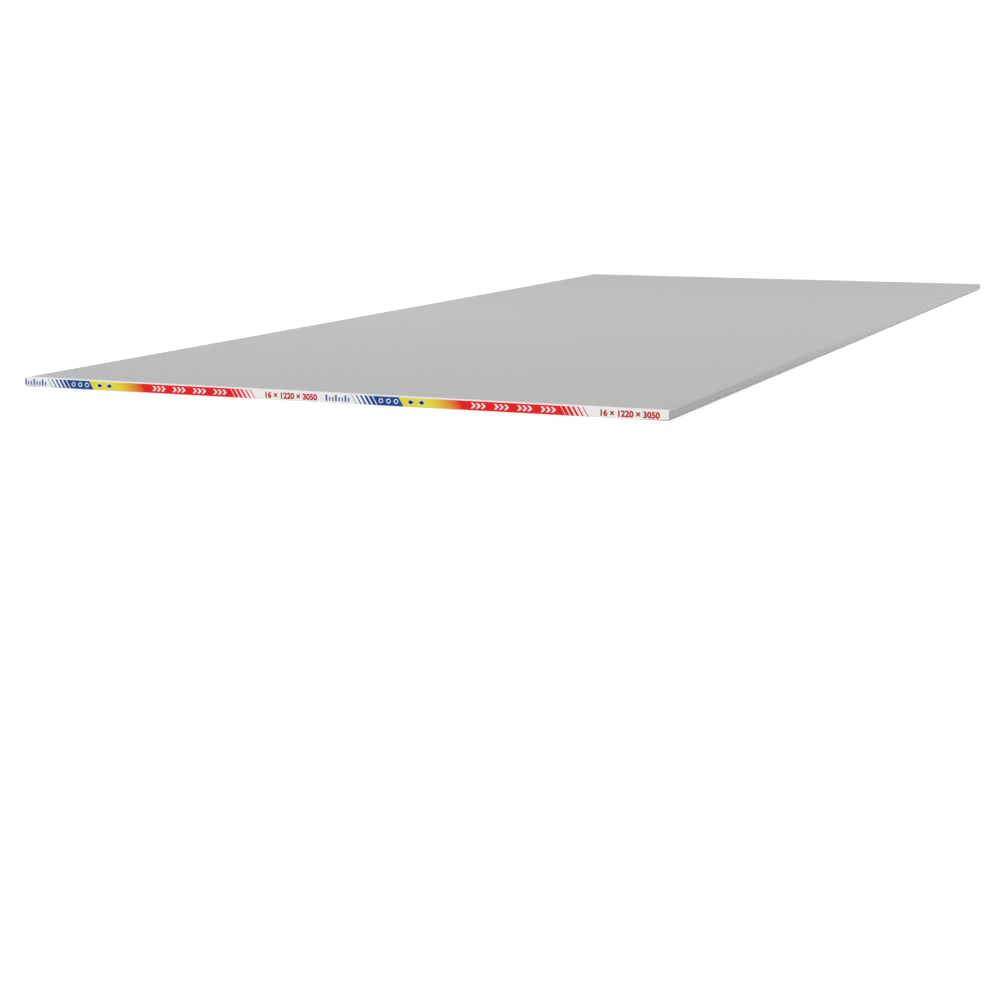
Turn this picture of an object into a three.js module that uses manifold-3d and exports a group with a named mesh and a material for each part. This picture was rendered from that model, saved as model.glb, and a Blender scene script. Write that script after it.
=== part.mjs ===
// A gypsum board (drywall sheet) as it lies in the store: back up, face down, with the paper end
// tapes still on it.
//
// Millimetres, +Z up. The board runs along Y, its long edges face +X and -X, and the origin is at the
// middle of the face side, which lies on the floor.
//
//  - gypsum_board: one slab. The long edges are wrapped in the face paper, so they are round at the
//    arrises, and the face thins towards them in a shallow taper that takes the joint tape.
//  - end_tape_front, end_tape_back: strips of paper tape, glued over the cut ends and folded on to the
//    back. A tape binds two boards face to face. It is slit along the joint between them, so it
//    stops just above the face side.

import * as THREE from 'three';
import * as BufferGeometryUtils from 'three/addons/utils/BufferGeometryUtils.js';
import Module from 'manifold-3d';

const wasm = await Module();
wasm.setup();

// ---------------------------------------------------------------- driving dimensions

// The board: 5/8 in thick, 4 ft wide and 10 ft long.
const boardThickness = 15.9;
const boardWidth = 1219.2;
const boardLength = 3048;

// The taper along each long edge of the face side.
const taperWidth = 60; // from the long edge to where the face is flat
const taperDepth = 1.6; // how far the face stands back at the long edge
const taperEaseLength = 22; // the stretch in which the flat face turns down into the slope

// The paper is folded round the long edges: softly at the face, tighter at the back.
const faceArrisRadius = 3;
const backArrisRadius = 1.5;

// The end tape.
const tapeThickness = 0.25;
const tapeFlapDepth = 12.7; // how far it is folded over the back
const tapeSideGap = 1; // from the tape's cut ends to the board's long edges
const tapeSlitHeight = 0.5; // from the face side to the tape's slit edge

// How finely round stretches are drawn, and in how many stretches the board is drawn along its
// length: the middle one keeps the faces of its back and edges clear of both tapes.
const curveSteps = 10;
const lengthSteps = 3;

// ---------------------------------------------------------------- places that follow from them

const halfWidth = boardWidth / 2;
const halfLength = boardLength / 2;
const taperStart = halfWidth - taperWidth; // the flat face ends here
const arrisStart = halfWidth - faceArrisRadius; // the taper ends here
const taperSlope = taperDepth / (arrisStart - taperStart - taperEaseLength / 2);

// ---------------------------------------------------------------- the board's section

// Draws the face side from the left long edge to the right one, as seen along +Y with Z up: the
// wrapped arris, the taper rising away from the flat face, the flat face, and the same again
// mirrored. The whole line can be raised.
function drawFaceSide(outline, raisedBy) {
  const flatZ = raisedBy;
  const edgeZ = raisedBy + taperDepth;
  const easeEnd = taperStart + taperEaseLength;
  const easeZ = flatZ + (taperSlope * taperEaseLength) / 2;
  const easeMiddle = taperStart + taperEaseLength / 2;

  outline.moveTo(-halfWidth, edgeZ + faceArrisRadius);
  outline.absarc(-arrisStart, edgeZ + faceArrisRadius, faceArrisRadius, Math.PI, 1.5 * Math.PI);
  outline.lineTo(-easeEnd, easeZ);
  outline.quadraticCurveTo(-easeMiddle, flatZ, -taperStart, flatZ);
  outline.lineTo(taperStart, flatZ);
  outline.quadraticCurveTo(easeMiddle, flatZ, easeEnd, easeZ);
  outline.lineTo(arrisStart, edgeZ);
  outline.absarc(arrisStart, edgeZ + faceArrisRadius, faceArrisRadius, 1.5 * Math.PI, 2 * Math.PI);
}

// The board's whole section: the face side, closed over the flat back and its tighter arrises.
function boardSection() {
  const outline = new THREE.Shape();
  const cornerX = halfWidth - backArrisRadius;
  const cornerZ = boardThickness - backArrisRadius;
  drawFaceSide(outline, 0);
  outline.lineTo(halfWidth, cornerZ);
  outline.absarc(cornerX, cornerZ, backArrisRadius, 0, 0.5 * Math.PI);
  outline.lineTo(-cornerX, boardThickness);
  outline.absarc(-cornerX, cornerZ, backArrisRadius, 0.5 * Math.PI, Math.PI);
  outline.closePath();
  return outline;
}

// A section drawn in X and Z, drawn out along Y and centred on it.
function drawOutAlongY(outline, length, steps = 1) {
  const geometry = new THREE.ExtrudeGeometry(outline, {
    depth: length,
    steps,
    bevelEnabled: false,
    curveSegments: curveSteps,
  });
  geometry.translate(0, 0, -length / 2);
  geometry.rotateX(Math.PI / 2);
  return geometry;
}

// ---------------------------------------------------------------- the end tape

// The folded strip at the front end, before it is trimmed: its section in Y and Z is an L, with the
// fold rounded over the board's cut arris, drawn out along X between the tape's cut ends.
function foldedStrip() {
  const endY = -halfLength;
  const outline = new THREE.Shape();
  outline.moveTo(endY, 0);
  outline.lineTo(endY, boardThickness);
  outline.lineTo(endY + tapeFlapDepth, boardThickness);
  outline.lineTo(endY + tapeFlapDepth, boardThickness + tapeThickness);
  outline.lineTo(endY, boardThickness + tapeThickness);
  outline.absarc(endY, boardThickness, tapeThickness, 0.5 * Math.PI, Math.PI);
  outline.lineTo(endY - tapeThickness, 0);
  outline.closePath();

  const stripLength = boardWidth - 2 * tapeSideGap;
  const geometry = new THREE.ExtrudeGeometry(outline, {
    depth: stripLength,
    bevelEnabled: false,
    curveSegments: curveSteps,
  });
  // The section's axes become Y and Z, and its depth runs along X.
  const turn = new THREE.Matrix4().makeBasis(
    new THREE.Vector3(0, 1, 0),
    new THREE.Vector3(0, 0, 1),
    new THREE.Vector3(1, 0, 0),
  );
  geometry.translate(0, 0, -stripLength / 2);
  geometry.applyMatrix4(turn);
  return geometry;
}

// All that is above the face side, raised to where the tape is slit: what it leaves of the strip is
// the end tape, whose lower edge then follows the tapers and the wrapped arrises.
function aboveTheSlit() {
  const headroom = boardThickness + 2 * tapeThickness;
  const outline = new THREE.Shape();
  drawFaceSide(outline, tapeSlitHeight);
  outline.lineTo(halfWidth, headroom + tapeSlitHeight);
  outline.lineTo(-halfWidth, headroom + tapeSlitHeight);
  outline.closePath();
  return drawOutAlongY(outline, boardLength + 4 * tapeThickness);
}

function toSolid(geometry) {
  const bare = geometry.clone();
  bare.deleteAttribute('normal');
  bare.deleteAttribute('uv');
  const welded = BufferGeometryUtils.mergeVertices(bare);
  return new wasm.Manifold(new wasm.Mesh({
    numProp: 3,
    vertProperties: new Float32Array(welded.attributes.position.array),
    triVerts: new Uint32Array(welded.index.array),
  }));
}

function toGeometry(solid) {
  const mesh = solid.getMesh();
  const geometry = new THREE.BufferGeometry();
  geometry.setAttribute('position', new THREE.BufferAttribute(mesh.vertProperties, mesh.numProp));
  geometry.setIndex(new THREE.BufferAttribute(mesh.triVerts, 1));
  geometry.computeVertexNormals();
  return geometry;
}

function endTapeGeometry() {
  return toGeometry(toSolid(foldedStrip()).intersect(toSolid(aboveTheSlit())));
}

// ---------------------------------------------------------------- materials, in linear colours

const greyLiner = new THREE.MeshStandardMaterial({
  name: 'grey liner paper',
  color: new THREE.Color(0.52, 0.52, 0.51),
  roughness: 0.9,
  metalness: 0,
});

const whiteTape = new THREE.MeshStandardMaterial({
  name: 'white tape paper',
  color: new THREE.Color(0.85, 0.84, 0.82),
  roughness: 0.6,
  metalness: 0,
});

// ---------------------------------------------------------------- the object

const sheet = new THREE.Group();
sheet.name = 'drywall_sheet';

const boardGeometry = drawOutAlongY(boardSection(), boardLength, lengthSteps);
const board = new THREE.Mesh(boardGeometry, greyLiner);
board.name = 'gypsum_board';
sheet.add(board);

const frontTape = new THREE.Mesh(endTapeGeometry(), whiteTape);
frontTape.name = 'end_tape_front';
sheet.add(frontTape);

// The far end has the same tape, turned end for end.
const backTape = new THREE.Mesh(endTapeGeometry(), whiteTape);
backTape.name = 'end_tape_back';
backTape.rotation.z = Math.PI;
sheet.add(backTape);

export default sheet;
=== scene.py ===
"""Drywall sheet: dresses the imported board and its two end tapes, and sets them on a plain studio floor.

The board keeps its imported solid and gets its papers: grey liner on the back, paler face paper on
the face side and round the long edges, and gypsum at the cut ends. The end tapes are modelled again
as thin folded paper, and printed with plain numbers and shapes.
"""

import math

import bmesh
import bpy
from bpy.props import FloatProperty, FloatVectorProperty, PointerProperty, StringProperty
from mathutils import Euler, Matrix, Vector


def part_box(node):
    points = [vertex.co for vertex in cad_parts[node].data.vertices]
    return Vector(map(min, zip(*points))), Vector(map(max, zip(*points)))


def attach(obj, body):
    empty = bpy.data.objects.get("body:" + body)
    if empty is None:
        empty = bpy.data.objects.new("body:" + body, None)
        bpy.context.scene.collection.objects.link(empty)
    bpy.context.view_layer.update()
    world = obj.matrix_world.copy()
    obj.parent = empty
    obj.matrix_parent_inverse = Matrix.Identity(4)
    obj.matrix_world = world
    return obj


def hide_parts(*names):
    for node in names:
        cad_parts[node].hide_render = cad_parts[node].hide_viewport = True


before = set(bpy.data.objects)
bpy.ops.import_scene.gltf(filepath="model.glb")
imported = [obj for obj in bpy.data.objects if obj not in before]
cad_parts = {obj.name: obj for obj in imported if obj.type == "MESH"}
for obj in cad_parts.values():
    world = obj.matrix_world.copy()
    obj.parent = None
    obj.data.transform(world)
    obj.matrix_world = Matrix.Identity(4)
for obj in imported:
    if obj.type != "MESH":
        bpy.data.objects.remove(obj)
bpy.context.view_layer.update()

bl_info = {
    "name": "Drywall Sheet",
    "version": (1, 0, 0),
    "blender": (4, 5, 0),
    "location": "View3D > Sidebar > Drywall",
    "description": "Papers, printed end tapes and studio for one drywall sheet",
    "category": "Object",
}

_, BOARD_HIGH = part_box("gypsum_board")
TAPE_LOW, TAPE_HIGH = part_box("end_tape_front")

HALF_WIDTH = BOARD_HIGH.x
HALF_LENGTH = BOARD_HIGH.y
BACK_Z = BOARD_HIGH.z
TAPE_LENGTH = TAPE_HIGH.x - TAPE_LOW.x
TAPE_THICKNESS = TAPE_HIGH.z - BACK_Z
TAPE_FLAP = TAPE_HIGH.y + HALF_LENGTH
SLIT_HEIGHT = TAPE_LOW.z

MM = 0.001
HAIR = 0.01 * MM  # places further apart than this differ
SPECK = 0.001 * MM  # corners nearer than this are merged
UPRIGHT = (math.pi / 2, 0, 0)


# ---------------------------------------------------------------- sizes and colours


def length(label, about, default, low=0.0):
    """A length in metres, for the panel."""
    return FloatProperty(name=label, description=about, default=default, min=low, precision=5,
                         subtype="DISTANCE", unit="LENGTH")


def colour(label, about, default):
    """A scene-linear colour, for the panel."""
    return FloatVectorProperty(name=label, description=about, default=default, size=3, min=0, max=1,
                               subtype="COLOR")


def share(label, about, default, high=1.0):
    """A plain number from nought up, for the panel."""
    return FloatProperty(name=label, description=about, default=default, min=0, max=high,
                         subtype="FACTOR")


def point(label, about, default):
    """A place in metres, for the panel."""
    return FloatVectorProperty(name=label, description=about, default=default,
                               subtype="TRANSLATION", unit="LENGTH")


def power(label, about, default):
    """A lamp's power in watts, for the panel."""
    return FloatProperty(name=label, description=about, default=default, min=0, unit="POWER")


def angle(label, about, degrees):
    """An angle, for the panel."""
    return FloatProperty(name=label, description=about, default=math.radians(degrees),
                         subtype="ANGLE")


class BoardLook(bpy.types.PropertyGroup):
    """Colours and paper texture of the board."""

    liner: colour("Back liner", "Grey recycled paper on the back", (0.527, 0.526, 0.527))
    face: colour("Face paper", "Paler paper on the face side and round the long edges",
                 (0.52, 0.518, 0.508))
    core: colour("Gypsum core", "Bare gypsum at the cut ends", (0.7, 0.69, 0.66))
    dark_fleck: colour("Dark fleck", "The darkest flecks in the paper", (0.2, 0.19, 0.17))
    pale_fleck: colour("Pale fleck", "The palest flecks in the paper", (0.8, 0.79, 0.76))
    # Glue and painted shade: the thin darker line along the liner's edge.
    seam: colour("Seam", "Shade along the liner's edge", (0.25, 0.25, 0.24))
    rubbed: colour("Rubbed paper", "Streaks where the long edges are rubbed", (0.72, 0.72, 0.7))
    liner_edge: length("Liner edge", "From the long edge to where the back liner ends", 5 * MM)
    swerve: length("Swerve", "How far that line wanders in all", 1 * MM)
    swerve_size: length("Swerve size", "Length over which it wanders", 80 * MM)
    glue_and_shade_width: length("Seam width", "How far the shade reaches from the liner's edge", 0.4 * MM)
    lap_width: length("Lap width", "How far the face paper is folded in under the liner", 26 * MM)
    lap_slope: length("Lap slope", "Half the width over which that fold rises", 1.5 * MM)
    rub_width: length("Rub width", "How far the long edges are rubbed", 1.5 * MM)
    rub_size: length("Rub size", "Width of the rubbed streaks", 2.2 * MM)
    paper_thickness: length("Paper thickness", "Thickness of the papers at a cut end", 0.35 * MM)
    pore_size: length("Pore size", "Size of the bare gypsum's pores", 0.8 * MM)
    fibre_size: length("Fibre size", "Distance between the paper's visible fibres", 1.1 * MM)
    mottle_size: length("Mottle size", "Size of the paper's fine mottle", 0.7 * MM)
    fleck_size: length("Fleck size", "Size of the ground in which one fleck may lie", 1.3 * MM)
    cloud_size: length("Cloud size", "Size of the paper's soft clouds", 60 * MM)
    cloud_tone: share("Cloud tone", "How strongly the paper's clouds show", 0.045)


class TapePaper(bpy.types.PropertyGroup):
    """Shape and paper of the end tapes."""

    paper: colour("Tape paper", "White paper of the end tape", (0.87, 0.865, 0.85))
    cell: length("Cell", "Size of the mesh's cells along the tape", 4 * MM, 1 * MM)
    fold_radius: length("Fold radius", "Radius of the fold over the board's end", 0.5 * MM)
    ripple: length("Ripple", "How far the paper stands off the board here and there", 0.12 * MM)
    ripple_size: length("Ripple size", "Size of those ripples", 35 * MM)
    flap_lift: length("Flap lift", "How far the flap's free edge lifts", 0.35 * MM)
    lifted_share: share("Lifted share", "Share of the flap that lifts with its free edge", 0.4)


class TapePrint(bpy.types.PropertyGroup):
    """The print on the end tapes: plain slanted bands, numbers and shapes, again and again."""

    repeat: length("Repeat", "Length after which the print repeats", 609.6 * MM, 50 * MM)
    front_start: FloatProperty(name="Front start", unit="LENGTH", default=-735 * MM,
                               description="Where the front tape's first repeat starts")
    back_start: FloatProperty(name="Back start", unit="LENGTH", default=-944 * MM,
                              description="Where the back tape's first repeat starts")
    slant: FloatProperty(name="Slant", description="How far a band leans for each unit of height",
                         default=0.6)
    fade: length("Fade", "Length over which a band fades into the white", 40 * MM)
    hatch: length("Hatch", "Pitch of the bars in which a band fades into the white", 8 * MM)
    thin_bar: share("Thin bar", "Share of the pitch that the first bar fills", 0.12)
    thick_bar: share("Thick bar", "Share of the pitch that the last bar fills", 0.8)
    blend: length("Blend", "Length over which yellow turns into red", 54 * MM)
    numbers: StringProperty(name="Numbers", description="Thickness, width and length in millimetres",
                            default="16 \u00d7 1220 \u00d7 3050")
    number_size: length("Number size", "Size of the numbers", 14 * MM)
    number_fat: share("Number fat", "How far the numbers are thickened, by their size", 1 / 22)
    red: colour("Red", "Ink of the long bands", (0.8, 0.013, 0.018))
    blue: colour("Blue", "Ink of the blue bands", (0.009, 0.06, 0.3))
    yellow: colour("Yellow", "Ink of the short bands", (0.76, 0.71, 0.055))
    deep_blue: colour("Deep blue", "Ink of the shapes on the short bands", (0.01, 0.03, 0.16))
    number_red: colour("Number red", "Ink of the numbers", (0.5, 0.01, 0.025))
    tick_blue: colour("Tick blue", "Ink of the ruler ticks", (0.1, 0.14, 0.36))


class Studio(bpy.types.PropertyGroup):
    """Floor, lamps and camera."""

    floor: colour("Floor", "Colour of the floor", (0.92, 0.92, 0.92))
    floor_width: length("Floor width", "Width of the floor", 200)
    floor_lift: share("Floor lift", "How much whiter the camera sees the floor than it is lit", 0.24)
    sky: share("Sky light", "Strength of the light from all round", 0.545, 4)
    backdrop: share("Backdrop", "How brightly the camera sees what is behind the floor", 1.05, 2)
    key: FloatProperty(name="Key light", description="Strength of the key light", default=1.57)
    key_place: point("Key place", "Where the key light shines from", (0.3, -2.0, 2.6))
    key_spread: angle("Key spread", "How much of the sky the key light fills", 35)
    side: power("Side light", "Power of the softbox low at the right", 10.4)
    side_place: point("Side place", "Where the softbox at the right stands", (2.4, 0.85, 0.35))
    side_aim: point("Side aim", "Where the softbox at the right points", (HALF_WIDTH, 1.0, 0))
    side_width: length("Side width", "Width of the softbox at the right", 2.0)
    side_height: length("Side height", "Height of the softbox at the right", 0.6)
    top: power("Top light", "Power of the softbox over the board", 3.7)
    top_place: point("Top place", "Where the softbox over the board hangs", (-0.9, -0.1, 1.8))
    top_width: length("Top width", "Width of the softbox over the board", 1.0)
    camera_place: point("Camera place", "Where the camera stands", (1.5499, -4.5077, 0.4362))
    camera_turn: angle("Camera turn", "Turn to the left from +Y", 22.398)
    camera_tilt: angle("Camera tilt", "Tilt below the horizon", 10.234)
    camera_roll: angle("Camera roll", "Roll about the line of sight", -0.05)
    camera_lens: FloatProperty(name="Lens", description="Focal length in millimetres",
                               default=71.6, unit="CAMERA")


# ---------------------------------------------------------------- working with meshes


def only(piece):
    """Selects one object alone and makes it the active one."""
    bpy.ops.object.select_all(action="DESELECT")
    piece.select_set(True)
    bpy.context.view_layer.objects.active = piece


def new_piece(name, stretch=(1, 1, 1)):
    """Names and stretches the object that an operator has just added, with its place in its mesh."""
    piece = bpy.context.active_object
    piece.name = name
    piece.data.name = name
    piece.scale = stretch
    only(piece)
    bpy.ops.object.transform_apply(location=True, rotation=True, scale=True)
    return piece


def select_where(piece, kind, test):
    """In edit mode, selects only the vertices, edges or faces that pass a test."""
    bpy.ops.mesh.select_mode(type=kind)
    bpy.ops.mesh.select_all(action="DESELECT")
    mesh = bmesh.from_edit_mesh(piece.data)
    parts = {"VERT": mesh.verts, "EDGE": mesh.edges, "FACE": mesh.faces}[kind]
    for part in parts:
        part.select_set(test(part))
    mesh.select_flush_mode()
    bmesh.update_edit_mesh(piece.data)


def add_modifier(piece, kind, **settings):
    """Adds a modifier, sets it and applies it."""
    only(piece)
    bpy.ops.object.modifier_add(type=kind)
    modifier = piece.modifiers[-1]
    for name, value in settings.items():
        setattr(modifier, name, value)
    bpy.ops.object.modifier_apply(modifier=modifier.name)


def join(pieces, name):
    """Joins pieces into the first one and names it."""
    only(pieces[0])
    for piece in pieces[1:]:
        piece.select_set(True)
    if len(pieces) > 1:
        bpy.ops.object.join()
    pieces[0].name = name
    pieces[0].data.name = name
    return pieces[0]


# ---------------------------------------------------------------- working with nodes


def node(tree, kind, **settings):
    """Adds a node and sets its own settings."""
    made = tree.nodes.new(kind)
    for name, value in settings.items():
        setattr(made, name, value)
    return made


def wire(tree, source, target):
    """Links a socket, or sets a plain value."""
    if isinstance(source, bpy.types.NodeSocket):
        tree.links.new(source, target)
    else:
        target.default_value = source


def maths(tree, operation, a, b=0.0, c=0.0):
    """One sum. Each term is a socket or a number."""
    made = node(tree, "ShaderNodeMath", operation=operation)
    for term, socket in zip((a, b, c), made.inputs):
        wire(tree, term, socket)
    return made.outputs[0]


def ramp_up(tree, value, low, high):
    """Nought below low, one above high, and smooth in between."""
    made = node(tree, "ShaderNodeMapRange", interpolation_type="SMOOTHSTEP")
    for name, term in (("Value", value), ("From Min", low), ("From Max", high)):
        wire(tree, term, made.inputs[name])
    return made.outputs["Result"]


def evenly(tree, value, low, high, low_gives, high_gives):
    """Changes evenly from one result to another as a value goes from low to high."""
    made = node(tree, "ShaderNodeMapRange")
    terms = {"Value": value, "From Min": low, "From Max": high, "To Min": low_gives,
             "To Max": high_gives}
    for name, term in terms.items():
        wire(tree, term, made.inputs[name])
    return made.outputs["Result"]


def mix(tree, factor, a, b):
    """Mixes two colours."""
    made = node(tree, "ShaderNodeMix", data_type="RGBA")
    wire(tree, factor, made.inputs[0])
    wire(tree, a, made.inputs[6])
    wire(tree, b, made.inputs[7])
    return made.outputs[2]


def rgba(value):
    """A colour with its alpha."""
    return (*value, 1.0)


def noise(tree, vector, size, stretch=(1, 1, 1), detail=2.0, roughness=0.5):
    """Noise from nought to one, with blobs of about the given size in metres."""
    scaled = node(tree, "ShaderNodeVectorMath", operation="MULTIPLY")
    wire(tree, vector, scaled.inputs[0])
    scaled.inputs[1].default_value = [1 / (size * s) for s in stretch]
    made = node(tree, "ShaderNodeTexNoise")
    wire(tree, scaled.outputs[0], made.inputs["Vector"])
    made.inputs["Scale"].default_value = 1.0
    made.inputs["Detail"].default_value = detail
    made.inputs["Roughness"].default_value = roughness
    return made.outputs["Fac"]


def new_group(name, inputs, outputs):
    """An empty shader node group with these float or vector inputs and float outputs."""
    group = bpy.data.node_groups.new(name, "ShaderNodeTree")
    for label, kind in inputs:
        group.interface.new_socket(label, in_out="INPUT", socket_type=kind)
    for label, kind in outputs:
        group.interface.new_socket(label, in_out="OUTPUT", socket_type=kind)
    return group, node(group, "NodeGroupInput").outputs, node(group, "NodeGroupOutput").inputs


def thin_lines(tree, vector, size, turn, width):
    """Short curved lines, one for each fibre, turned by about an angle from the board's length.

    They follow the middle level of a noise, and a second noise breaks them up.
    """
    turned = node(tree, "ShaderNodeVectorRotate", rotation_type="Z_AXIS")
    wire(tree, vector, turned.inputs["Vector"])
    turned.inputs["Angle"].default_value = turn
    level = noise(tree, turned.outputs[0], size, stretch=(1, 2.4, 1), detail=1)
    off_line = maths(tree, "ABSOLUTE", maths(tree, "SUBTRACT", level, 0.5))
    on_line = maths(tree, "SUBTRACT", 1.0, ramp_up(tree, off_line, 0.0, width))
    broken = ramp_up(tree, noise(tree, turned.outputs[0], 1.6 * size, detail=1), 0.52, 0.6)
    return maths(tree, "MULTIPLY", on_line, broken)


def paper_grain():
    """Paper grain: single fibres that lie mostly along the board, a fine mottle, and soft clouds.

    Tone is centred on nought, Height runs from about nought to one.
    """
    name = "Paper Grain"
    if name in bpy.data.node_groups:
        return bpy.data.node_groups[name]
    group, given, out = new_group(
        name,
        [("Vector", "NodeSocketVector"), ("Fibre Tone", "NodeSocketFloat"),
         ("Cloud Tone", "NodeSocketFloat")],
        [("Tone", "NodeSocketFloat"), ("Height", "NodeSocketFloat")],
    )
    look = bpy.context.scene.board_look
    place = given["Vector"]
    pale = thin_lines(group, place, look.fibre_size, turn=0.35, width=0.045)
    dark = thin_lines(group, place, 0.8 * look.fibre_size, turn=-0.6, width=0.045)
    strays = thin_lines(group, place, 1.3 * look.fibre_size, turn=1.2, width=0.03)
    mottle = noise(group, place, look.mottle_size, stretch=(1, 1.5, 1), detail=4, roughness=0.65)
    clouds = noise(group, place, look.cloud_size, stretch=(1, 1.8, 1), detail=4, roughness=0.6)
    streaks = noise(group, place, look.cloud_size / 4, stretch=(1, 40, 1))

    fibres = maths(group, "SUBTRACT", maths(group, "MULTIPLY_ADD", strays, 0.6, pale), dark)
    fine = maths(group, "MULTIPLY_ADD", fibres, 0.35, maths(group, "SUBTRACT", mottle, 0.5))
    soft = maths(group, "MULTIPLY_ADD", clouds, 0.7, maths(group, "MULTIPLY", streaks, 0.3))
    cloud_part = maths(group, "MULTIPLY", maths(group, "SUBTRACT", soft, 0.5), given["Cloud Tone"])
    wire(group, maths(group, "MULTIPLY_ADD", fine, given["Fibre Tone"], cloud_part), out["Tone"])
    wire(group, maths(group, "MULTIPLY_ADD", fibres, 0.5, mottle), out["Height"])
    return group


def paper_flecks():
    """Flecks in recycled paper: a few small ragged specks, some dark and some pale."""
    name = "Paper Flecks"
    if name in bpy.data.node_groups:
        return bpy.data.node_groups[name]
    group, given, out = new_group(
        name,
        [("Vector", "NodeSocketVector")],
        [("Dark", "NodeSocketFloat"), ("Pale", "NodeSocketFloat")],
    )
    size = bpy.context.scene.board_look.fleck_size
    for label, stretch in (("Dark", (1, 1.7, 1)), ("Pale", (1.5, 1, 1))):
        level = noise(group, given["Vector"], size, stretch)
        wire(group, ramp_up(group, level, 0.73, 0.76), out[label])
    return group


def use_group(tree, group, **values):
    """Places a node group and sets or links its inputs, whose names have spaces for underscores."""
    made = node(tree, "ShaderNodeGroup", node_tree=group)
    for name, value in values.items():
        wire(tree, value, made.inputs[name.replace("_", " ")])
    return made.outputs


def new_material(name, specular):
    """A material with one Principled shader. Returns it, its tree and the shader."""
    material = bpy.data.materials.new(name)
    material.use_nodes = True
    tree = material.node_tree
    shader = tree.nodes["Principled BSDF"]
    shader.inputs["Specular IOR Level"].default_value = specular
    return material, tree, shader


def object_place(tree):
    """The place on the piece, in metres."""
    return node(tree, "ShaderNodeTexCoord").outputs["Object"]


def toned(tree, base, tone):
    """A colour made lighter or darker by a tone centred on nought."""
    factor = maths(tree, "ADD", tone, 1.0)
    scale = node(tree, "ShaderNodeVectorMath", operation="SCALE")
    wire(tree, base if isinstance(base, bpy.types.NodeSocket) else base[:3], scale.inputs[0])
    wire(tree, factor, scale.inputs["Scale"])
    return scale.outputs[0]


def tinted(tree, base, tint, mask, strength):
    """A colour mixed with a tint as far as a mask and a strength say."""
    return mix(tree, maths(tree, "MULTIPLY", mask, strength), base, rgba(tint))


def bumped(tree, shader, height, distance):
    """Puts a height on the shader's normal."""
    bump = node(tree, "ShaderNodeBump")
    bump.inputs["Distance"].default_value = distance
    wire(tree, height, bump.inputs["Height"])
    wire(tree, bump.outputs[0], shader.inputs["Normal"])


# ---------------------------------------------------------------- the board


def board_material(look):
    """Grey liner on the back, face paper on the rest, and gypsum on the cut ends."""
    material, tree, shader = new_material("board papers", specular=0.3)
    place = object_place(tree)
    xyz = node(tree, "ShaderNodeSeparateXYZ")
    wire(tree, place, xyz.inputs[0])
    x, y, z = xyz.outputs
    from_edge = maths(tree, "SUBTRACT", HALF_WIDTH, maths(tree, "ABSOLUTE", x))

    # The back liner ends a little inside each long edge, on a slightly wandering line.
    swerve = maths(tree, "SUBTRACT", noise(tree, place, look.swerve_size), 0.5)
    line = maths(tree, "MULTIPLY_ADD", swerve, look.swerve, look.liner_edge)
    past_line = maths(tree, "SUBTRACT", from_edge, line)
    on_back = maths(tree, "GREATER_THAN", z, BACK_Z / 2)
    liner = maths(tree, "MULTIPLY", maths(tree, "GREATER_THAN", past_line, 0.0), on_back)
    # Along the liner's edge the paper is darkened in a thin line: partly glue, partly painted shade under
    # the liner's proud edge.
    near_line = ramp_up(tree, maths(tree, "ABSOLUTE", past_line), look.glue_and_shade_width, 0.0)
    seam = maths(tree, "MULTIPLY", near_line, on_back)

    grain = use_group(tree, paper_grain(), Vector=place, Fibre_Tone=0.4, Cloud_Tone=look.cloud_tone)
    flecks = use_group(tree, paper_flecks(), Vector=place)
    paper = mix(tree, liner, rgba(look.face), rgba(look.liner))
    paper = toned(tree, paper, grain["Tone"])
    paper = tinted(tree, paper, look.dark_fleck, flecks["Dark"], 0.4)
    paper = tinted(tree, paper, look.pale_fleck, flecks["Pale"], 0.4)
    # The thin darker line of glue and painted shade along the liner's edge.
    paper = tinted(tree, paper, look.seam, seam, 0.3)

    # The wrapped long edges are rubbed a little paler in streaks along the board.
    on_edge = maths(tree, "LESS_THAN", from_edge, look.rub_width)
    along = noise(tree, place, look.rub_size, stretch=(1, 14, 1), detail=3)
    rubbed = maths(tree, "MULTIPLY", ramp_up(tree, along, 0.52, 0.72), on_edge)
    paper = tinted(tree, paper, look.rubbed, rubbed, 0.15)

    # The tops of the fibres are a little smoother than the hollows, and so is rubbed paper.
    matt = maths(tree, "MULTIPLY_ADD", grain["Height"], -0.08, 0.96)
    wire(tree, maths(tree, "MULTIPLY_ADD", rubbed, -0.1, matt), shader.inputs["Roughness"])

    # A cut end shows the papers' edges and the gypsum between them.
    at_end = maths(tree, "GREATER_THAN", maths(tree, "ABSOLUTE", y), HALF_LENGTH - HAIR)
    in_side = maths(tree, "GREATER_THAN", from_edge, look.paper_thickness)
    in_face = maths(tree, "GREATER_THAN", z, look.paper_thickness)
    in_back = maths(tree, "LESS_THAN", z, BACK_Z - look.paper_thickness)
    cut = maths(tree, "MULTIPLY", maths(tree, "MULTIPLY", in_side, in_face), in_back)
    bare = maths(tree, "MULTIPLY", at_end, cut)
    pores = noise(tree, place, look.pore_size, detail=4)
    gypsum = toned(tree, rgba(look.core), maths(tree, "MULTIPLY_ADD", pores, 0.3, -0.15))
    wire(tree, mix(tree, bare, paper, gypsum), shader.inputs["Base Color"])

    # The liner's edge and the folded paper under it stand a little proud. The face side is plain.
    lap = ramp_up(tree, from_edge, look.lap_width + look.lap_slope, look.lap_width - look.lap_slope)
    lap = maths(tree, "MAXIMUM", lap, maths(tree, "LESS_THAN", z, BACK_Z / 2))
    steps = maths(tree, "MULTIPLY_ADD", liner, 0.3, maths(tree, "MULTIPLY", lap, 0.15))
    bumped(tree, shader, maths(tree, "MULTIPLY_ADD", grain["Height"], 0.05, steps), distance=MM)
    return material


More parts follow.
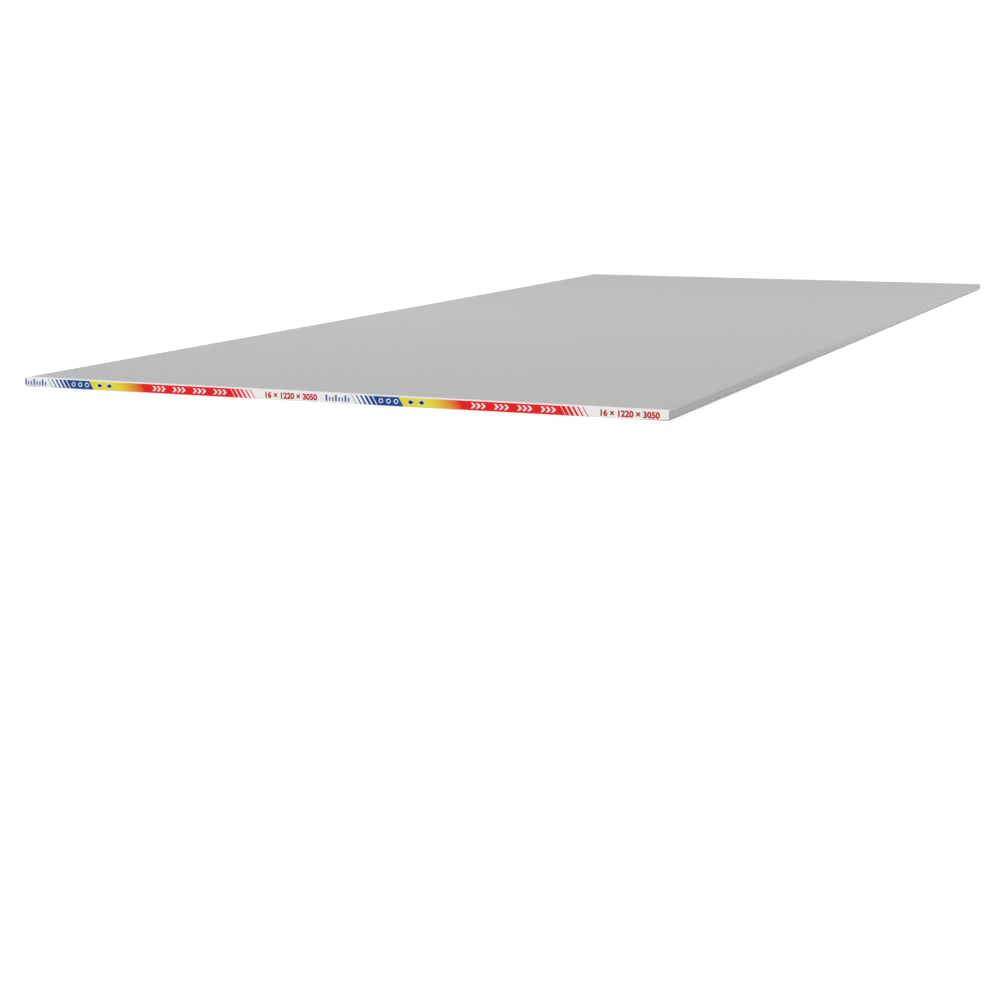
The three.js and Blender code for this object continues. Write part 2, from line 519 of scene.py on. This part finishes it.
class DRYWALL_OT_dress_board(bpy.types.Operator):
    """Gives the board its liner, face paper and gypsum ends"""

    bl_idname = "drywall.dress_board"
    bl_label = "Dress Board"

    def execute(self, context):
        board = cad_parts["gypsum_board"]
        board.material_slots[0].material = board_material(context.scene.board_look)
        return {"FINISHED"}


# ---------------------------------------------------------------- the end tapes


# Where the print's bands and shapes start, from the start of a repeat.
NUMBERS_START = 8 * MM
TICKS_START = 126 * MM
BLUE_START = 184 * MM
RINGS_START = 230 * MM
YELLOW_START = 272 * MM
LOZENGES_START = 285 * MM
RED_START = 328 * MM
ARROWS_START = 396 * MM
RED_END = 600 * MM

# The tape's map, in shares of its side. The printed panel fills rows from the top down. Below them
# are a strip for the flap and one for the inner side, and the inks' swatches are at the foot.
MAP_ROWS = 7
MAP_MARGIN = 0.01
ROW_PITCH = 0.1
ROW_HEIGHT = 0.094
FLAP_FOOT, FLAP_HEIGHT = 0.2, 0.06
INNER_FOOT, INNER_HEIGHT = 0.1, 0.08
SWATCH_PITCH = 0.24
FIRST_SWATCH = Vector((0.13, 0.05))
SWATCH_REACH = Vector((0.075, 0.032))
DAB_REACH = Vector((0.004, 0.004))


def face_outline():
    """The face side's outline in X and Z from left to right, read from the board's own corners."""
    corners = [v.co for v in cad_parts["gypsum_board"].data.vertices]
    return sorted({(round(c.x, 6), round(c.z, 6)) for c in corners if c.z < BACK_Z / 2})


def rectangle(name, x, z, width, height):
    """An upright rectangle on the front end plane, by its lower left corner."""
    bpy.ops.mesh.primitive_plane_add(
        size=1, location=(x + width / 2, -HALF_LENGTH, z + height / 2), rotation=UPRIGHT)
    return new_piece(name, (width, height, 1))


def chevron(name, x, z, stroke, height, lead):
    """An arrowhead stroke whose tip leads along the tape."""
    bpy.ops.mesh.primitive_grid_add(
        x_subdivisions=1, y_subdivisions=2, size=1, location=(x, -HALF_LENGTH, z), rotation=UPRIGHT)
    piece = new_piece(name, (stroke, height, 1))
    bpy.ops.object.mode_set(mode="EDIT")
    select_where(piece, "VERT", lambda v: abs(v.co.z - z) < HAIR)
    bpy.ops.transform.translate(value=(lead, 0, 0))
    bpy.ops.object.mode_set(mode="OBJECT")
    return piece


def ring(name, x, z, radius, stroke):
    """A plain ring."""
    bpy.ops.mesh.primitive_circle_add(
        vertices=36, radius=radius, fill_type="NGON", location=(x, -HALF_LENGTH, z),
        rotation=UPRIGHT)
    piece = new_piece(name)
    bpy.ops.object.mode_set(mode="EDIT")
    bpy.ops.mesh.select_all(action="SELECT")
    bpy.ops.mesh.inset(thickness=stroke)
    select_where(piece, "FACE", lambda f: len(f.verts) > 4)
    bpy.ops.mesh.delete(type="FACE")
    bpy.ops.object.mode_set(mode="OBJECT")
    return piece


def diamond(name, x, z, width, height):
    """A square on its corner, drawn out along the tape."""
    bpy.ops.mesh.primitive_circle_add(
        vertices=4, radius=0.5, fill_type="NGON", location=(x, -HALF_LENGTH, z), rotation=UPRIGHT)
    return new_piece(name, (width, height, 1))


def numbers(name, x, z, ink):
    """The row of plain numbers, by the left end of its foot line, in letters drawn a little fat."""
    bpy.ops.object.text_add(location=(x, -HALF_LENGTH, z), rotation=UPRIGHT)
    text = bpy.context.active_object
    text.data.body = ink.numbers
    text.data.size = ink.number_size
    text.data.offset = ink.number_fat * ink.number_size
    text.data.resolution_u = 4
    only(text)
    bpy.ops.object.convert(target="MESH")
    piece = new_piece(name)
    bpy.ops.object.mode_set(mode="EDIT")
    bpy.ops.mesh.select_all(action="SELECT")
    bpy.ops.mesh.remove_doubles(threshold=SPECK)
    bpy.ops.object.mode_set(mode="OBJECT")
    return piece


def again(piece, count, pitch):
    """Repeats a shape along the tape."""
    add_modifier(piece, "ARRAY", count=count, use_relative_offset=False, use_constant_offset=True,
                 constant_offset_displace=(pitch, 0, 0))
    return piece


def draw_print(ink, start):
    """Draws the print's shapes from the place along the tape where its first repeat starts.

    Gives for each ink its shapes, as one object of upright prisms that pass through the end plane.
    A later ink lies over an earlier one.
    """
    foot = 3.1 * MM
    middle = BACK_Z / 2 + 0.1 * MM
    tick_pitch = 6 * MM

    # A long tick covers every third short one, with a little to spare all round.
    short = rectangle("short ticks", start + TICKS_START + 0.3 * MM, foot,
                      width=2.9 * MM, height=7 * MM)
    long = rectangle("long ticks", start + TICKS_START, foot - 0.4 * MM,
                     width=3.5 * MM, height=11 * MM)
    ticks = [again(short, 8, tick_pitch), again(long, 3, 3 * tick_pitch)]

    row = numbers("numbers", start + NUMBERS_START, foot, ink)
    rings = ring("rings", start + RINGS_START, middle, radius=4.2 * MM, stroke=1.5 * MM)
    again(rings, 3, 14 * MM)
    arrows = chevron("arrows", start + ARROWS_START, middle,
                     stroke=4.2 * MM, height=9 * MM, lead=4.6 * MM)
    again(arrows, 3, 9 * MM)
    again(arrows, 4, 41 * MM)
    borders = diamond("borders", start + LOZENGES_START, middle, width=15 * MM, height=10.4 * MM)
    again(borders, 2, 20 * MM)
    lozenges = diamond("lozenges", start + LOZENGES_START, middle, width=12 * MM, height=8 * MM)
    again(lozenges, 2, 20 * MM)
    shapes = {
        "bare paper": join([rings, arrows, borders], "bare"),
        "blue shapes": lozenges,
        "number red": row,
        "tick blue": join(ticks, "ticks"),
    }
    for shape in shapes.values():
        again(shape, 3, ink.repeat)
        add_modifier(shape, "SOLIDIFY", thickness=2 * MM, offset=0)
    return shapes


def on_end_plane(face):
    """True for a face that lies in the front end plane."""
    return abs(face.normal.y) > 0.9 and abs(face.calc_center_median().y + HALF_LENGTH) < HAIR


def cut_print_into(panel, shapes):
    """Cuts the print's outlines into the flat panel, and gives each face its ink's material slot."""
    cutters = []
    for shape in shapes.values():
        cutter = shape.copy()
        cutter.data = shape.data.copy()
        bpy.context.collection.objects.link(cutter)
        cutters.append(cutter)
    join([panel, *cutters], panel.name)
    bpy.ops.object.mode_set(mode="EDIT")
    select_where(panel, "FACE", on_end_plane)
    bpy.ops.mesh.intersect(mode="SELECT_UNSELECT", separate_mode="NONE", solver="EXACT")
    select_where(panel, "FACE", lambda f: not on_end_plane(f))
    bpy.ops.mesh.delete(type="FACE")
    bpy.ops.mesh.select_all(action="SELECT")
    bpy.ops.mesh.quads_convert_to_tris()
    bpy.ops.mesh.remove_doubles(threshold=HAIR)
    bpy.ops.mesh.dissolve_degenerate(threshold=HAIR)
    bpy.ops.object.mode_set(mode="OBJECT")
    for slot, shape in enumerate(shapes.values(), start=1):
        for face in panel.data.polygons:
            if shape.ray_cast(face.center, (0, 1, 0), distance=2 * MM)[0]:
                face.material_index = slot
    for shape in shapes.values():
        bpy.data.objects.remove(shape)
    # The cutters brought a slot of their own with them.
    bpy.ops.object.material_slot_remove_unused()


def flat_panel(name, look):
    """The tape's end panel as a fine upright grid, from the board's face side up to its back.

    The map's rows start at a column of the grid, so no face lies in two rows.
    """
    columns = MAP_ROWS * round(TAPE_LENGTH / look.cell / MAP_ROWS)
    bpy.ops.mesh.primitive_grid_add(
        x_subdivisions=columns, y_subdivisions=4, size=1,
        location=(0, -HALF_LENGTH, BACK_Z / 2), rotation=UPRIGHT)
    return new_piece(name, (TAPE_LENGTH, BACK_Z, 1))


def fold_over(panel, look):
    """Draws the panel's upper edge out over the board's back as the flap, and rounds the fold."""
    rows = 6
    for row in range(rows):
        edge_y = row * TAPE_FLAP / rows - HALF_LENGTH
        select_where(panel, "EDGE", lambda e: all(
            abs(v.co.y - edge_y) < HAIR and v.co.z > BACK_Z - HAIR for v in e.verts))
        bpy.ops.mesh.extrude_region_move(
            TRANSFORM_OT_translate={"value": (0, TAPE_FLAP / rows, 0)})
    select_where(panel, "EDGE", lambda e: all(
        v.co.y < HAIR - HALF_LENGTH and v.co.z > BACK_Z - HAIR for v in e.verts))
    bpy.ops.mesh.bevel(offset=look.fold_radius, offset_type="OFFSET", segments=4, affect="EDGES")


def trim_to_slit(strip):
    """Trims the strip's lower edge along the board's face side, raised to where the tape is slit.

    The face side bulges downwards everywhere, so one straight cut for each of its stretches will do.
    """
    outline = face_outline()
    for (x0, z0), (x1, z1) in zip(outline, outline[1:]):
        bpy.ops.mesh.select_all(action="SELECT")
        bpy.ops.mesh.bisect(
            plane_co=((x0 + x1) / 2, 0, (z0 + z1) / 2 + SLIT_HEIGHT),
            plane_no=Vector((z1 - z0, 0, x0 - x1)).normalized(),
            clear_outer=True, threshold=SPECK)
    bpy.ops.mesh.select_all(action="SELECT")
    bpy.ops.mesh.remove_doubles(threshold=SPECK)
    bpy.ops.mesh.normals_make_consistent(inside=False)


def face_outwards(strip):
    """Turns the strip's faces over if the flap looks down."""
    flap = max(bmesh.from_edit_mesh(strip.data).faces, key=lambda f: f.calc_center_median().y)
    if flap.normal.z < 0:
        bpy.ops.mesh.select_all(action="SELECT")
        bpy.ops.mesh.flip_normals()


def give_thickness(strip, look):
    """Ripples the strip, lifts the flap's free edge, and gives the paper its thickness."""
    ripples = bpy.data.textures.new("tape ripples", "CLOUDS")
    ripples.noise_scale = look.ripple_size
    add_modifier(strip, "DISPLACE", texture=ripples, strength=look.ripple, mid_level=0,
                 texture_coords="LOCAL")

    lifted = strip.vertex_groups.new(name="free edge")
    free_y = TAPE_FLAP - HALF_LENGTH
    for v in strip.data.vertices:
        nearness = 1 - (free_y - v.co.y) / (look.lifted_share * TAPE_FLAP)
        if nearness > 0:
            lifted.add([v.index], nearness**2, "REPLACE")
    waves = bpy.data.textures.new("flap waves", "CLOUDS")
    waves.noise_scale = 2 * look.ripple_size
    add_modifier(strip, "DISPLACE", texture=waves, strength=look.flap_lift, mid_level=0.25,
                 texture_coords="LOCAL", direction="Z", vertex_group="free edge")
    strip.vertex_groups.clear()
    add_modifier(strip, "SOLIDIFY", thickness=TAPE_THICKNESS, offset=1, use_quality_normals=True)
    bpy.ops.object.shade_smooth_by_angle(angle=math.radians(35))


def lay_on_swatch(face, layer, middle, reach):
    """Lays a face on the map with its corners round an ellipse."""
    for count, corner in enumerate(face.loop_indices):
        turn = 2 * math.pi * count / face.loop_total
        layer.data[corner].uv = middle + reach * Vector((math.cos(turn), math.sin(turn)))


def lay_in_strip(face, layer, tape):
    """Lays a face on the map in the flap's strip, in a row of the panel or in the inner side's strip."""
    row = min(int((face.center.x / TAPE_LENGTH + 0.5) * MAP_ROWS), MAP_ROWS - 1)
    for corner in face.loop_indices:
        place = tape.data.vertices[tape.data.loops[corner].vertex_index].co
        along = place.x / TAPE_LENGTH + 0.5
        over = place.y + HALF_LENGTH
        if face.normal.z > 0.3:
            up = FLAP_FOOT + FLAP_HEIGHT * (over + MM) / (TAPE_FLAP + 2 * MM)
        elif face.normal.y < -0.3:
            along = along * MAP_ROWS - row
            up = 1 - MAP_MARGIN - ROW_PITCH * (row + 1)
            up += ROW_HEIGHT * place.z / (BACK_Z + TAPE_THICKNESS)
        else:
            up = INNER_FOOT + INNER_HEIGHT * (place.z + over) / (BACK_Z + TAPE_FLAP)
        layer.data[corner].uv = (MAP_MARGIN + (1 - 2 * MAP_MARGIN) * along, up)


def by_size(faces):
    """The broadest faces first, and equal ones by place. The cut leaves them in no fixed order."""
    def size_and_place(face):
        return -round(face.area / HAIR**2), [round(c / HAIR) for c in face.center]

    return sorted(faces, key=size_and_place)


def lay_out_map(tape):
    """Gives the tape, while it lies at the front end, a map of its surface.

    The broadest face of each ink fills that ink's swatch, and all its other faces are dabs in the
    middle of it, so a shape's edge stays sharp and no other colour runs into it.
    """
    layer = tape.data.uv_layers.new(name="OFBake")
    filled = set()
    for face in by_size(tape.data.polygons):
        ink = face.material_index
        if ink > 0:
            middle = FIRST_SWATCH + Vector(((ink - 1) * SWATCH_PITCH, 0))
            lay_on_swatch(face, layer, middle, DAB_REACH if ink in filled else SWATCH_REACH)
            filled.add(ink)
        else:
            lay_in_strip(face, layer, tape)


def model_tape(name, look, ink, start, materials):
    """One end tape at the front end, printed, folded, trimmed, rippled and closed."""
    strip = flat_panel(name, look)
    for material in materials:
        strip.data.materials.append(material)
    cut_print_into(strip, draw_print(ink, start))
    bpy.ops.object.mode_set(mode="EDIT")
    fold_over(strip, look)
    trim_to_slit(strip)
    face_outwards(strip)
    bpy.ops.object.mode_set(mode="OBJECT")
    give_thickness(strip, look)
    lay_out_map(strip)
    return strip


def turn_end_for_end(piece):
    """Turns a piece half round about the board's middle, so that it fits the back end."""
    piece.rotation_euler.z = math.pi
    only(piece)
    bpy.ops.object.transform_apply(location=True, rotation=True, scale=True)


def fade_in(tree, along, start, ink):
    """Nought before a place along the print, one past the fade, and widening bars in between."""
    into = maths(tree, "SUBTRACT", along, start)
    bar_share = evenly(tree, into, 0, ink.fade, ink.thin_bar, ink.thick_bar)
    phase = maths(tree, "FRACT", maths(tree, "DIVIDE", into, ink.hatch))
    bars = maths(tree, "LESS_THAN", phase, bar_share)
    past_fade = maths(tree, "GREATER_THAN", into, ink.fade)
    begun = maths(tree, "GREATER_THAN", into, 0.0)
    return maths(tree, "MULTIPLY", begun, maths(tree, "MAXIMUM", past_fade, bars))


def print_bands(tree, along, ink, paper):
    """The print's ground along one repeat: white, blue, yellow turning into red, and white again."""
    bands = (
        (fade_in(tree, along, BLUE_START, ink), ink.blue),
        (maths(tree, "GREATER_THAN", along, YELLOW_START), ink.yellow),
        (evenly(tree, along, RED_START, RED_START + ink.blend, 0, 1), ink.red),
        (fade_in(tree, along, RED_END - ink.fade, ink), paper),
    )
    ground = rgba(paper)
    for mask, tone in bands:
        ground = mix(tree, mask, ground, rgba(tone))
    return ground


def tape_shader(name, base):
    """Printed paper. The base gives its colour from the tree and the object place."""
    material, tree, shader = new_material(name, specular=0.12)
    place = object_place(tree)
    grain = use_group(tree, paper_grain(), Vector=place, Fibre_Tone=0.06, Cloud_Tone=0.04)
    wire(tree, toned(tree, base(tree, place), grain["Tone"]), shader.inputs["Base Color"])
    wire(tree, maths(tree, "MULTIPLY_ADD", grain["Height"], -0.16, 0.68), shader.inputs["Roughness"])
    bumped(tree, shader, grain["Height"], distance=0.03 * MM)
    return material


def banded_paper(look, ink, start, turned):
    """The paper's colour: the slanted bands on the end panel, and white on the flap."""
    side = -1.0 if turned else 1.0

    def base(tree, place):
        xyz = node(tree, "ShaderNodeSeparateXYZ")
        wire(tree, place, xyz.inputs[0])
        x, y, z = xyz.outputs
        x = maths(tree, "MULTIPLY", x, side)
        leaning = maths(tree, "MULTIPLY_ADD", z, ink.slant, x)
        turns = maths(tree, "DIVIDE", maths(tree, "SUBTRACT", leaning, start), ink.repeat)
        along = maths(tree, "MULTIPLY", maths(tree, "FRACT", turns), ink.repeat)
        # The print is on the outer side alone, and ends just below the fold.
        from_middle = maths(tree, "ABSOLUTE", y)
        outside = maths(tree, "GREATER_THAN", from_middle, HALF_LENGTH + 0.4 * TAPE_THICKNESS)
        below_fold = maths(tree, "LESS_THAN", z, BACK_Z - 0.8 * look.fold_radius)
        printed = maths(tree, "MULTIPLY", outside, below_fold)
        return mix(tree, printed, rgba(look.paper), print_bands(tree, along, ink, look.paper))

    return base


class DRYWALL_OT_fold_tapes(bpy.types.Operator):
    """Models the two printed end tapes as folded paper"""

    bl_idname = "drywall.fold_tapes"
    bl_label = "Fold End Tapes"

    def execute(self, context):
        look, ink = context.scene.tape_paper, context.scene.tape_print
        inks = {"tape bare paper": look.paper, "tape shape blue": ink.deep_blue,
                "tape number red": ink.number_red, "tape tick blue": ink.tick_blue}
        plain = [tape_shader(name, lambda tree, place, c=c: rgba(c))
                 for name, c in inks.items()]
        starts = {"end_tape_front": ink.front_start, "end_tape_back": ink.back_start}
        for end, start in starts.items():
            turned = end == "end_tape_back"
            banded = tape_shader(f"{end} bands", banded_paper(look, ink, start, turned))
            tape = model_tape(f"{end}_paper", look, ink, start, [banded, *plain])
            if turned:
                turn_end_for_end(tape)
            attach(tape, "root")
            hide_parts(end)
        return {"FINISHED"}


# ---------------------------------------------------------------- the stage


def direct_sight(tree):
    """One for the rays by which the camera sees a thing, directly, mirrored or through glass."""
    path = node(tree, "ShaderNodeLightPath")
    sight = maths(tree, "MAXIMUM", path.outputs["Is Camera Ray"], path.outputs["Is Glossy Ray"])
    return maths(tree, "MAXIMUM", sight, path.outputs["Is Transmission Ray"])


def floor_material(studio):
    """Plain matt floor, lifted to white where the camera sees it. It keeps the board's shadow."""
    material, tree, shader = new_material("studio floor", specular=0)
    shader.inputs["Roughness"].default_value = 1
    shader.inputs["Base Color"].default_value = rgba(studio.floor)
    shader.inputs["Emission Color"].default_value = (1, 1, 1, 1)
    lift = maths(tree, "MULTIPLY", direct_sight(tree), studio.floor_lift)
    wire(tree, lift, shader.inputs["Emission Strength"])
    return material


def light_world(studio):
    """Even light from all round, which the camera sees as plain white."""
    world = bpy.data.worlds.new("studio")
    bpy.context.scene.world = world
    world.use_nodes = True
    tree = world.node_tree
    tree.nodes.clear()
    lit = node(tree, "ShaderNodeBackground")
    lit.inputs["Strength"].default_value = studio.sky
    seen = node(tree, "ShaderNodeBackground")
    seen.inputs["Color"].default_value = (1, 1, 1, 1)
    seen.inputs["Strength"].default_value = studio.backdrop
    both = node(tree, "ShaderNodeMixShader")
    wire(tree, direct_sight(tree), both.inputs[0])
    wire(tree, lit.outputs[0], both.inputs[1])
    wire(tree, seen.outputs[0], both.inputs[2])
    wire(tree, both.outputs[0], node(tree, "ShaderNodeOutputWorld").inputs[0])


def hang_lamp(kind, name, strength, place, aim):
    """A lamp at a place, turned towards an aim, which the camera doesn't see."""
    bpy.ops.object.light_add(type=kind, location=place)
    lamp = bpy.context.active_object
    lamp.name = name
    lamp.data.energy = strength
    lamp.rotation_euler = (Vector(aim) - Vector(place)).to_track_quat("-Z", "Y").to_euler()
    lamp.visible_camera = False
    return lamp.data


class DRYWALL_OT_build_stage(bpy.types.Operator):
    """Lays the floor, hangs the lamps and sets up the camera"""

    bl_idname = "drywall.build_stage"
    bl_label = "Build Stage"

    def execute(self, context):
        studio = context.scene.studio
        bpy.ops.mesh.primitive_plane_add(size=studio.floor_width, location=(0, 0, 0))
        floor = new_piece("studio_floor")
        floor.data.materials.append(floor_material(studio))
        light_world(studio)
        key = hang_lamp("SUN", "key", studio.key, studio.key_place, (0, 0, 0))
        key.angle = studio.key_spread
        side = hang_lamp("AREA", "side softbox", studio.side, studio.side_place, studio.side_aim)
        side.shape = "RECTANGLE"
        side.size = studio.side_width
        side.size_y = studio.side_height
        above = Vector(studio.top_place)
        top = hang_lamp("AREA", "top softbox", studio.top, above, (above.x, above.y, 0))
        top.size = studio.top_width

        bpy.ops.object.camera_add(location=studio.camera_place)
        camera = context.active_object
        camera.name = "camera"
        camera.data.lens = studio.camera_lens
        camera.data.sensor_width = 36
        camera.data.clip_start = 0.05
        camera.data.clip_end = 500
        aim = Euler((math.pi / 2 - studio.camera_tilt, 0, studio.camera_turn)).to_matrix()
        camera.rotation_euler = (aim @ Matrix.Rotation(studio.camera_roll, 3, "Z")).to_euler()
        context.scene.camera = camera
        context.scene.view_settings.view_transform = "Standard"
        return {"FINISHED"}


# ---------------------------------------------------------------- the add-on


class DRYWALL_PT_panel(bpy.types.Panel):
    """Lists the steps and the sizes"""

    bl_idname = "DRYWALL_PT_panel"
    bl_label = "Drywall Sheet"
    bl_space_type = "VIEW_3D"
    bl_region_type = "UI"
    bl_category = "Drywall"

    def draw(self, context):
        for step in STEPS:
            self.layout.operator(step.bl_idname)
        for group in GROUPS:
            box = self.layout.box()
            settings = getattr(context.scene, group)
            for name in settings.bl_rna.properties.keys():
                if name not in ("rna_type", "name"):
                    box.prop(settings, name)


GROUPS = {
    "board_look": BoardLook,
    "tape_paper": TapePaper,
    "tape_print": TapePrint,
    "studio": Studio,
}
STEPS = (DRYWALL_OT_dress_board, DRYWALL_OT_fold_tapes, DRYWALL_OT_build_stage)


def register():
    for group in GROUPS.values():
        bpy.utils.register_class(group)
    for name, group in GROUPS.items():
        setattr(bpy.types.Scene, name, PointerProperty(type=group))
    for step in STEPS:
        bpy.utils.register_class(step)
    bpy.utils.register_class(DRYWALL_PT_panel)


def unregister():
    bpy.utils.unregister_class(DRYWALL_PT_panel)
    for step in reversed(STEPS):
        bpy.utils.unregister_class(step)
    for name in GROUPS:
        delattr(bpy.types.Scene, name)
    for group in reversed(GROUPS.values()):
        bpy.utils.unregister_class(group)


def main():
    register()
    bpy.ops.drywall.build_stage()
    bpy.ops.drywall.dress_board()
    bpy.ops.drywall.fold_tapes()


if __name__ == "__main__":
    main()
